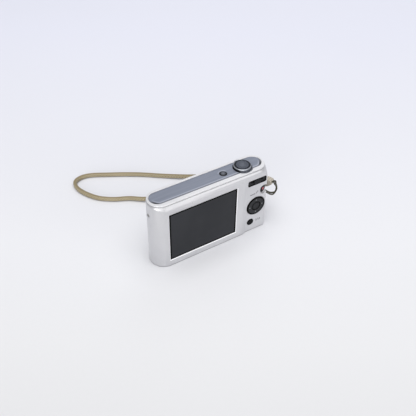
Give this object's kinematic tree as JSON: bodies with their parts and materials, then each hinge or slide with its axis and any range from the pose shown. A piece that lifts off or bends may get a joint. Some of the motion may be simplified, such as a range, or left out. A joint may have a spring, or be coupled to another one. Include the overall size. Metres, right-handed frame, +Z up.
{
  "type": "compact digital camera",
  "caption": "Compact digital camera with a rear screen, four-way pad, zoom ring round the shutter button, retracting lens with blades and a looped wrist strap.",
  "frame": {"origin": "middle of the underside, half way along the body and half way between the screen face and the front face", "axes": "+X to the user's right with the screen facing the user, +Y the way the lens looks, +Z up"},
  "size_m": [0.122, 0.1284, 0.0583],
  "materials": {
    "silver_paint": "satin silver paint",
    "white_silver": "satin, very light silver",
    "slate_metal": "matte blue-grey anodised sheet",
    "screen_glass": "smooth dark window",
    "module_steel": "plain sheet can",
    "plain_steel": "plain",
    "board_green": "solder-resist green",
    "dark_plastic": "fine matte",
    "barrel_metal": "satin anodised",
    "lens_glass": "polished",
    "blade_black": "matte black",
    "clear_plastic": "clear",
    "flash_white": "bright white",
    "amber_plastic": "amber",
    "nickel": "nickel plated",
    "screw_steel": "dark",
    "button_black": "semi-gloss black",
    "red_dot": "red",
    "switch_grey": "plain",
    "ring_metal": "satin with a bright rim",
    "slate_button": "spun",
    "battery_dark": "plain case",
    "catch_orange": "plain",
    "card_blue": "plain",
    "latch_grey": "ridged",
    "tab_beige": "woven, lightly worn",
    "strap_khaki": "braided cotton",
    "cord_olive": "fine braid"
  },
  "bodies": {
    "camera_body": {"rear_cover": "silver_paint", "front_cover": "silver_paint", "top_cover": "white_silver", "top_panel": "slate_metal", "screen_window": "screen_glass", "screen_module": "module_steel", "chassis_frame": "plain_steel", "main_board": "board_green", "board_chips": "dark_plastic", "image_sensor": "dark_plastic", "lens_tube": "dark_plastic", "lens_trim": "barrel_metal", "zoom_gearbox": "dark_plastic", "flash_capacitor": "dark_plastic", "flash_window": "clear_plastic", "flash_unit": "flash_white", "flash_tube": "flash_white", "focus_lamp": "amber_plastic", "tripod_socket": "nickel", "cover_screws": "screw_steel", "strap_bar": "plain_steel", "mode_switch_plate": "button_black", "key_board": "board_green", "key_domes": "nickel", "movie_switch": "switch_grey", "top_board": "board_green", "top_switches": "switch_grey", "battery_holder": "dark_plastic", "battery": "battery_dark", "battery_contacts": "nickel", "card_slot": "plain_steel", "door_hinge_pin": "plain_steel", "strap_tab": "tab_beige", "wrist_strap": "strap_khaki", "strap_cord": "cord_olive"},
    "cam": {"cam_ring": "dark_plastic"},
    "outer_stage": {"barrel_outer": "barrel_metal"},
    "inner_stage": {"barrel_inner": "barrel_metal", "front_lens": "lens_glass"},
    "upper_blade": {"blade_upper": "blade_black"},
    "lower_blade": {"blade_lower": "blade_black"},
    "shutter": {"shutter_button": "slate_button"},
    "zoom": {"zoom_lever": "ring_metal", "lever_washer": "plain_steel"},
    "power": {"power_button": "slate_button"},
    "mode": {"mode_slider": "button_black"},
    "pad_carrier": {"pad_pivot": "button_black"},
    "pad": {"control_pad": "button_black"},
    "ok": {"ok_button": "button_black"},
    "menu": {"menu_button": "button_black"},
    "movie": {"movie_button": "button_black", "movie_dot": "red_dot"},
    "door": {"battery_door": "silver_paint"},
    "latch": {"door_latch": "latch_grey"},
    "catch": {"battery_catch": "catch_orange"},
    "card": {"memory_card": "card_blue"}
  },
  "joints": [
    {"name": "shutter_press", "type": "slide", "parent": "camera_body", "child": "shutter", "axis": [0, 0, -1], "range_m": [0, 0.0005], "stiffness_N_per_m": 300},
    {"name": "zoom_turn", "type": "hinge", "parent": "camera_body", "child": "zoom", "pos_m": [0.0298, 0, 0.057], "axis": [0, 0, 1], "range_deg": [-20, 20], "stiffness_Nm_per_rad": 0.02},
    {"name": "power_press", "type": "slide", "parent": "camera_body", "child": "power", "axis": [0, 0, -1], "range_m": [0, 0.0003], "stiffness_N_per_m": 300},
    {"name": "mode_slide", "type": "slide", "parent": "camera_body", "child": "mode", "axis": [1, 0, 0], "range_m": [-0.004, 0.004]},
    {"name": "pad_tilt_up_down", "type": "hinge", "parent": "camera_body", "child": "pad_carrier", "pos_m": [0.037, -0.00833, 0.0234], "axis": [1, 0, 0], "range_deg": [-2.5, 2.5], "stiffness_Nm_per_rad": 0.05},
    {"name": "pad_tilt_left_right", "type": "hinge", "parent": "pad_carrier", "child": "pad", "pos_m": [0.037, -0.00833, 0.0234], "axis": [0, 0, 1], "range_deg": [-2.5, 2.5], "stiffness_Nm_per_rad": 0.05},
    {"name": "ok_press", "type": "slide", "parent": "camera_body", "child": "ok", "axis": [0, 1, 0], "range_m": [0, 0.0003], "stiffness_N_per_m": 300},
    {"name": "menu_press", "type": "slide", "parent": "camera_body", "child": "menu", "axis": [0, 1, 0], "range_m": [0, 0.0003], "stiffness_N_per_m": 300},
    {"name": "movie_press", "type": "slide", "parent": "camera_body", "child": "movie", "axis": [-0.342, 0.9397, 0], "range_m": [0, 0.0003], "stiffness_N_per_m": 300},
    {"name": "lens_extend", "type": "slide", "parent": "camera_body", "child": "outer_stage", "axis": [0, 1, 0], "range_m": [0, 0.0095]},
    {"name": "lens_extend_inner", "type": "slide", "parent": "outer_stage", "child": "inner_stage", "axis": [0, 1, 0], "range_m": [0, 0.0076]},
    {"name": "cam_turn", "type": "hinge", "parent": "camera_body", "child": "cam", "pos_m": [-0.0076, 0.003, 0.0275], "axis": [0, 1, 0], "range_deg": [0, 60]},
    {"name": "blade_upper_open", "type": "hinge", "parent": "inner_stage", "child": "upper_blade", "pos_m": [0.0039, 0.0102, 0.0245], "axis": [0, 1, 0], "range_deg": [0, 30]},
    {"name": "blade_lower_open", "type": "hinge", "parent": "inner_stage", "child": "lower_blade", "pos_m": [-0.0191, 0.0102, 0.0305], "axis": [0, 1, 0], "range_deg": [0, 30]},
    {"name": "door_swing", "type": "hinge", "parent": "camera_body", "child": "door", "pos_m": [0.0284, -0.0026, 0.0013], "axis": [-1, 0, 0], "range_deg": [0, 90]},
    {"name": "latch_slide", "type": "slide", "parent": "door", "child": "latch", "axis": [0, 1, 0], "range_m": [0, 0.0015]},
    {"name": "catch_slide", "type": "slide", "parent": "camera_body", "child": "catch", "axis": [-1, 0, 0], "range_m": [0, 0.0012], "stiffness_N_per_m": 200},
    {"name": "card_push", "type": "slide", "parent": "camera_body", "child": "card", "axis": [0, 0, 1], "range_m": [0, 0.001], "stiffness_N_per_m": 300}
  ],
  "couplings": [
    {"joint": "lens_extend_inner", "follows": "lens_extend", "ratio": 0.8},
    {"joint": "cam_turn", "follows": "lens_extend", "rad_per_m": 110.23},
    {"joint": "blade_upper_open", "follows": "lens_extend", "rad_per_m": 55.115},
    {"joint": "blade_lower_open", "follows": "lens_extend", "rad_per_m": 55.115}
  ]
}
